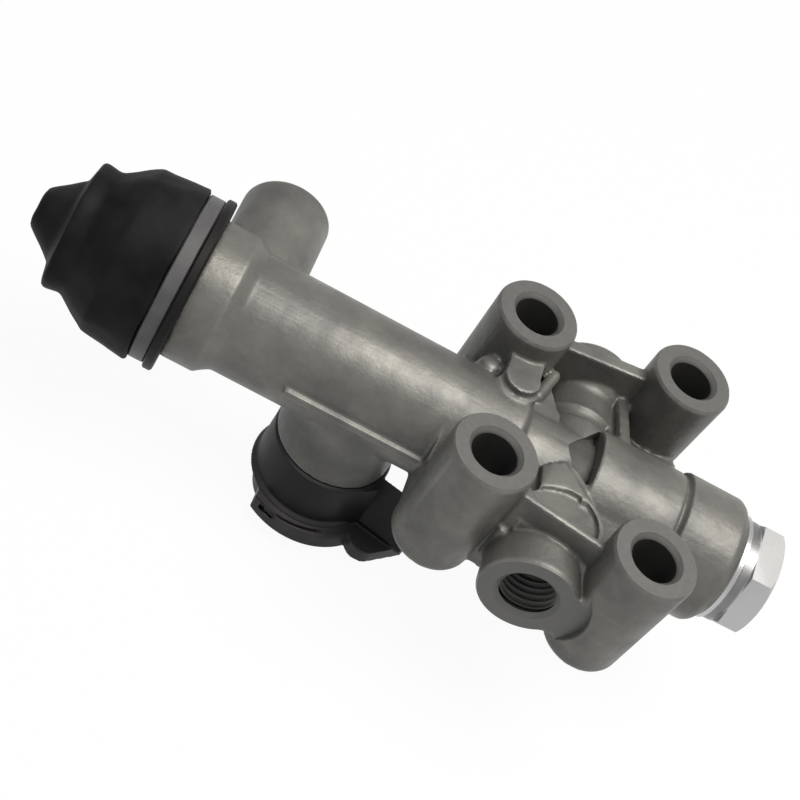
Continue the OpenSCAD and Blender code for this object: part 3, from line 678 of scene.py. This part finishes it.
plug = turned("hex_plug_turned", (0, 0, 0), (1, 0, 0), [
    (0.05, 0), (0.05, 0.004), (0.0474, 0.0075), (0.0426, 0.0075), (0.0426, 0.0084), (0.0434, 0.00915),
    (0.0516, 0.00915), (0.0516, 0.0085), (0.0547, 0.0085), (0.0547, 0.0104), (0.0572, 0.0104),
    (0.0572, 0)], 144)
corner_reach, first_corner = 0.01178, 41.7
angles = [math.radians(first_corner + 60 * k) for k in range(6)]
corners = [(math.sin(angle) * corner_reach, -math.cos(angle) * corner_reach) for angle in angles]
blank = block("hex_blank", [(x, y, z) for x in (0.0568, 0.062) for y, z in corners])
solid_change(blank, turned("round_end", (0, 0, 0), (1, 0, 0), [
    (0.056, 0), (0.056, 0.0125), (0.0607, 0.0125), (0.0607, 0.012), (0.0616, 0.0109),
    (0.062, 0.0101), (0.062, 0)]), "INTERSECT")
edges = blank.modifiers.new("edges", "BEVEL")
edges.width = 0.00014
edges.segments = 2
edges.limit_method = "ANGLE"
edges.angle_limit = math.radians(50)
apply_modifiers(blank)
solid_change(plug, blank, "UNION")
machined(plug, [turned("end_recess", (0, 0, 0), (1, 0, 0), [
    (0.0614, 0), (0.0614, 0.0072), (0.0625, 0.0076), (0.0625, 0)])], zinc)
washer = turned("plug_washer_turned", (0, 0, 0), (1, 0, 0), [
    (0.05352, 0.00855), (0.05352, 0.0108), (0.05365, 0.01095), (0.05453, 0.01095), (0.05468, 0.0108),
    (0.05468, 0.00855), (0.05352, 0.00855)], 144)
for piece, node, finish in ((plug, "hex_plug", zinc), (washer, "plug_washer", washer_steel)):
    smooth(piece, 35)
    piece.data.materials.clear()
    piece.data.materials.append(finish)
    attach(piece, "housing")
    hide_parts(node)
finish_node("plug_seal", seal_rubber)

# Check valve and port screens
# In the supply port a red moulded disc closes on a turned brass seat and is guided by a
# drilled brass retainer; perforated steel discs keep dirt out of the delivery ports.
disc_plastic = moulded_plastic("disc_plastic", (0.3, 0.03, 0.02),
    shine=0.4, rough=0.4, mottle=900)
screen_steel = turned_metal("screen_steel", (0.5, 0.5, 0.5), shine=0.9, rough=(0.25, 0.4),
    marks=0.2, along=(800, 3000, 800))
finish_node("check_seat", sleeve_brass)
finish_node("check_poppet", disc_plastic)
finish_node("check_retainer", sleeve_brass)
finish_node("port_screens", screen_steel)

# Vent cap
# A black moulded cap with a side duct and a foot flange, snapped on the vent stub; inside are
# a snap ring, a disc seat, a rubber flap and a pad of silencer foam.
# The cap's upward faces and its foot flange are made lighter by a factor of 9: painted light.
cap_plastic = moulded_plastic("cap_plastic", (0.0085, 0.008, 0.0082),
    shine=0.13, rough=0.38, mottle=220, painted_top_light=9)
# A near-black finish for the seam groove and the latch window: painted shade in these recesses.
seam_painted_shade = moulded_plastic("seam_painted_shade", (0.002, 0.002, 0.002),
    shine=0.05, rough=0.6, mottle=220)
cap = merged_copy("vent_cap", "vent_cap_moulding")
moulded_skin(cap, voxel=0.0002, kept=0.3, finish=cap_plastic)
seam = turned("seam_cut", (-0.0224, 0, 0), (0, 0, 1), [
    (-0.0318, 0.0139), (-0.0318, 0.0146), (-0.0304, 0.0146), (-0.0304, 0.0139), (-0.0318, 0.0139)])
solid_change(seam, block("front_part", [
    (x, y, z) for x in (-0.04, -0.0165) for y in (-0.02, -0.004) for z in (-0.035, -0.03)]),
    "INTERSECT")
machined(cap, [seam], seam_painted_shade)
window = [(-0.02545, -0.0137), (-0.02875, -0.0127), (-0.0263, -0.0163), (-0.0298, -0.0153)]
machined(cap, [block("window_cut", [(x, y, z) for z in (-0.0326, -0.0308) for x, y in window])],
         seam_painted_shade)
smooth(cap, 50)
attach(cap, "housing")
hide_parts("vent_cap")
finish_node("vent_clip", snap_steel)
finish_node("vent_seat", moulded_plastic("seat_plastic", (0.3, 0.3, 0.29),
    shine=0.4, rough=0.45, mottle=400))
finish_node("vent_flap", seal_rubber)
finish_node("vent_foam", moulded_rubber("silencer_foam", (0.03, 0.032, 0.035), shine=0.2,
    lumps=1800, grain=1.0))
